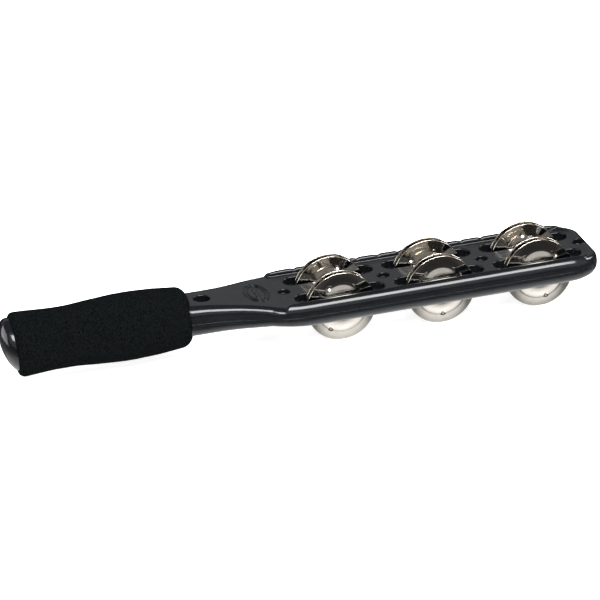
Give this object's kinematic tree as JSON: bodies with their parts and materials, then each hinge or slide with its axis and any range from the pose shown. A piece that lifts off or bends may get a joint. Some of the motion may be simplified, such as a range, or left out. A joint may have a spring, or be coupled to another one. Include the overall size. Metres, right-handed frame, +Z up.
{
  "type": "jingle stick",
  "caption": "Hand-held percussion stick: cupped metal jingles spin and slide on loose pins in two rows of slots, on a black frame with a foam grip.",
  "frame": {"origin": "centre of the bottom of the bounding box, on the surface that the jingles' lower rims stand on", "axes": "+X along the stick from the butt to the tip, +Y across the head parallel to the jingle pins, +Z up out of the panel with the raised rim"},
  "size_m": [0.3968, 0.0668, 0.0491],
  "materials": {
    "black_shell": "fine-grained black ABS, semi-gloss",
    "black_foam": "matt closed-cell foam",
    "nickel": "bright nickel-plated steel",
    "pin_steel": "plain drawn steel",
    "screw_steel": "blackened steel"
  },
  "bodies": {
    "frame": {"upper_shell": "black_shell", "lower_shell": "black_shell", "foam_grip": "black_foam", "screw_1": "screw_steel", "screw_2": "screw_steel", "screw_3": "screw_steel", "screw_4": "screw_steel"},
    "pin_near_1": {"pin_near_1": "pin_steel"},
    "jingle_near_1_a": {"jingle_near_1_a": "nickel"},
    "jingle_near_1_b": {"jingle_near_1_b": "nickel"},
    "pin_far_1": {"pin_far_1": "pin_steel"},
    "jingle_far_1_a": {"jingle_far_1_a": "nickel"},
    "jingle_far_1_b": {"jingle_far_1_b": "nickel"},
    "pin_near_2": {"pin_near_2": "pin_steel"},
    "jingle_near_2_a": {"jingle_near_2_a": "nickel"},
    "jingle_near_2_b": {"jingle_near_2_b": "nickel"},
    "pin_far_2": {"pin_far_2": "pin_steel"},
    "jingle_far_2_a": {"jingle_far_2_a": "nickel"},
    "jingle_far_2_b": {"jingle_far_2_b": "nickel"},
    "pin_near_3": {"pin_near_3": "pin_steel"},
    "jingle_near_3_a": {"jingle_near_3_a": "nickel"},
    "jingle_near_3_b": {"jingle_near_3_b": "nickel"},
    "pin_far_3": {"pin_far_3": "pin_steel"},
    "jingle_far_3_a": {"jingle_far_3_a": "nickel"},
    "jingle_far_3_b": {"jingle_far_3_b": "nickel"}
  },
  "joints": [
    {"name": "pin_spin_near_1", "type": "hinge", "parent": "frame", "child": "pin_near_1", "pos_m": [0.02335, -0.0146, 0.0242], "axis": [0, 1, 0], "continuous": true},
    {"name": "jingle_slide_near_1_a", "type": "slide", "parent": "pin_near_1", "child": "jingle_near_1_a", "axis": [0, 1, 0], "range_m": [-0.0009, 0.002]},
    {"name": "jingle_slide_near_1_b", "type": "slide", "parent": "pin_near_1", "child": "jingle_near_1_b", "axis": [0, 1, 0], "range_m": [-0.002, 0.0009]},
    {"name": "pin_spin_far_1", "type": "hinge", "parent": "frame", "child": "pin_far_1", "pos_m": [0.02335, 0.0146, 0.0242], "axis": [0, 1, 0], "continuous": true},
    {"name": "jingle_slide_far_1_a", "type": "slide", "parent": "pin_far_1", "child": "jingle_far_1_a", "axis": [0, 1, 0], "range_m": [-0.0009, 0.002]},
    {"name": "jingle_slide_far_1_b", "type": "slide", "parent": "pin_far_1", "child": "jingle_far_1_b", "axis": [0, 1, 0], "range_m": [-0.002, 0.0009]},
    {"name": "pin_spin_near_2", "type": "hinge", "parent": "frame", "child": "pin_near_2", "pos_m": [0.09075, -0.0146, 0.0242], "axis": [0, 1, 0], "continuous": true},
    {"name": "jingle_slide_near_2_a", "type": "slide", "parent": "pin_near_2", "child": "jingle_near_2_a", "axis": [0, 1, 0], "range_m": [-0.0009, 0.002]},
    {"name": "jingle_slide_near_2_b", "type": "slide", "parent": "pin_near_2", "child": "jingle_near_2_b", "axis": [0, 1, 0], "range_m": [-0.002, 0.0009]},
    {"name": "pin_spin_far_2", "type": "hinge", "parent": "frame", "child": "pin_far_2", "pos_m": [0.09075, 0.0146, 0.0242], "axis": [0, 1, 0], "continuous": true},
    {"name": "jingle_slide_far_2_a", "type": "slide", "parent": "pin_far_2", "child": "jingle_far_2_a", "axis": [0, 1, 0], "range_m": [-0.0009, 0.002]},
    {"name": "jingle_slide_far_2_b", "type": "slide", "parent": "pin_far_2", "child": "jingle_far_2_b", "axis": [0, 1, 0], "range_m": [-0.002, 0.0009]},
    {"name": "pin_spin_near_3", "type": "hinge", "parent": "frame", "child": "pin_near_3", "pos_m": [0.15815, -0.0146, 0.0242], "axis": [0, 1, 0], "continuous": true},
    {"name": "jingle_slide_near_3_a", "type": "slide", "parent": "pin_near_3", "child": "jingle_near_3_a", "axis": [0, 1, 0], "range_m": [-0.0009, 0.002]},
    {"name": "jingle_slide_near_3_b", "type": "slide", "parent": "pin_near_3", "child": "jingle_near_3_b", "axis": [0, 1, 0], "range_m": [-0.002, 0.0009]},
    {"name": "pin_spin_far_3", "type": "hinge", "parent": "frame", "child": "pin_far_3", "pos_m": [0.15815, 0.0146, 0.0242], "axis": [0, 1, 0], "continuous": true},
    {"name": "jingle_slide_far_3_a", "type": "slide", "parent": "pin_far_3", "child": "jingle_far_3_a", "axis": [0, 1, 0], "range_m": [-0.0009, 0.002]},
    {"name": "jingle_slide_far_3_b", "type": "slide", "parent": "pin_far_3", "child": "jingle_far_3_b", "axis": [0, 1, 0], "range_m": [-0.002, 0.0009]}
  ]
}
